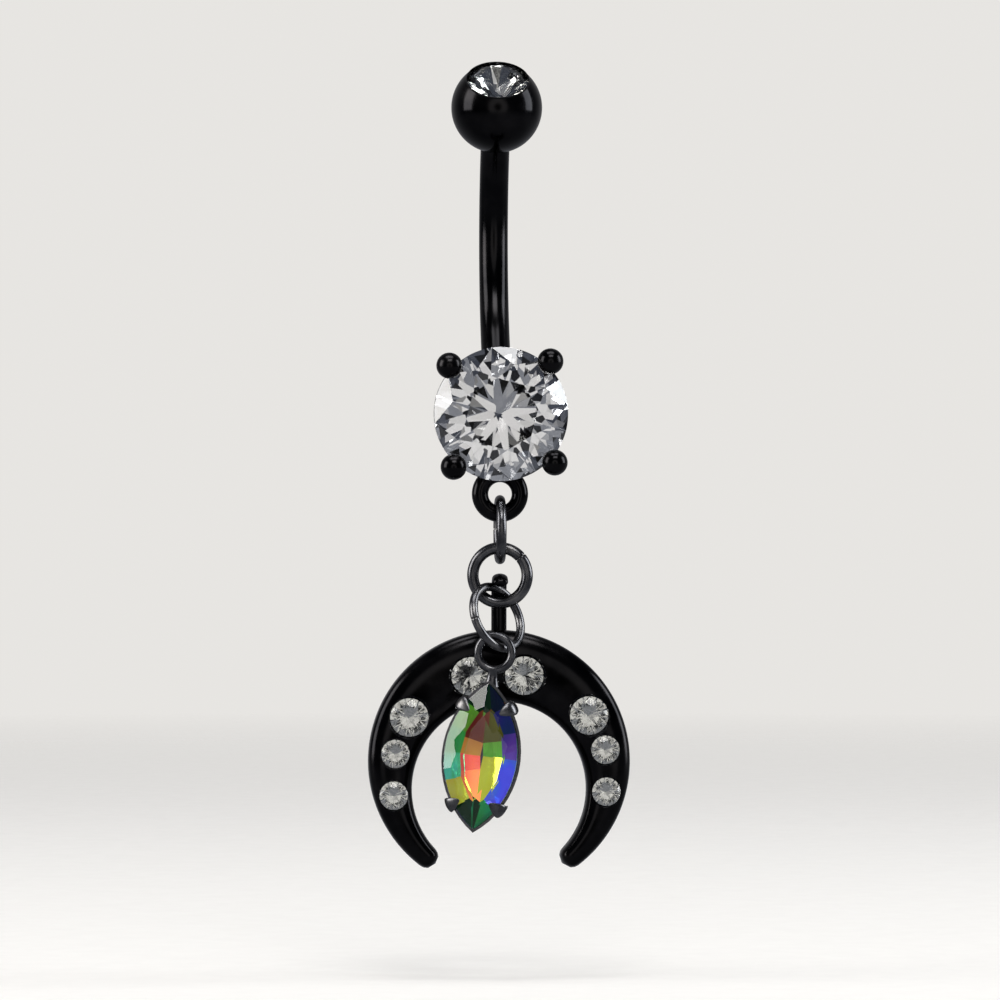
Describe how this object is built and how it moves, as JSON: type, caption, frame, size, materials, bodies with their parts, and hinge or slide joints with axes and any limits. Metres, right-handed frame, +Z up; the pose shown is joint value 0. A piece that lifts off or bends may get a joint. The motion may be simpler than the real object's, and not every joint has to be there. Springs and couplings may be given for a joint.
{
  "type": "navel ring",
  "caption": "Curved barbell with a screw-on ball and a claw-set round stone, from which a crescent and a marquise drop hang on small rings.",
  "frame": {"origin": "middle of the bar's curve on its centre line, where it sits in the piercing", "axes": "+Z up along the middle of the bar towards the ball, -Y to the front that the stones face, +X to the right seen from the front"},
  "size_m": [0.0144, 0.0106, 0.0442],
  "materials": {
    "black_steel": "glossy black plated steel",
    "gunmetal": "polished gunmetal plating",
    "clear_stone": "clear cut stone",
    "rainbow_stone": "cut glass with a many-coloured foil back"
  },
  "bodies": {
    "barbell": {"barbell": "black_steel", "centre_stone": "clear_stone"},
    "ball": {"top_ball": "black_steel", "ball_gem": "clear_stone"},
    "link": {"link_ring": "gunmetal"},
    "pendant": {"large_ring": "gunmetal", "front_ring": "gunmetal", "crescent": "black_steel", "crescent_stone_1": "clear_stone", "crescent_stone_2": "clear_stone", "crescent_stone_3": "clear_stone", "crescent_stone_4": "clear_stone", "crescent_stone_5": "clear_stone", "crescent_stone_6": "clear_stone", "crescent_stone_7": "clear_stone", "crescent_stone_8": "clear_stone", "marquise_setting": "gunmetal", "marquise_stone": "rainbow_stone"}
  },
  "joints": [
    {"name": "ball_unscrew", "type": "slide", "parent": "barbell", "child": "ball", "axis": [0, -0.6018, 0.7986], "range_m": [0, 0.005]},
    {"name": "drop_swing", "type": "hinge", "parent": "barbell", "child": "link", "pos_m": [0, -0.00646, -0.01387], "axis": [0, 1, 0], "range_deg": [-60, 60]},
    {"name": "pendant_swing", "type": "hinge", "parent": "link", "child": "pendant", "pos_m": [0, -0.00646, -0.01682], "axis": [1, 0, 0], "range_deg": [-60, 60]}
  ]
}
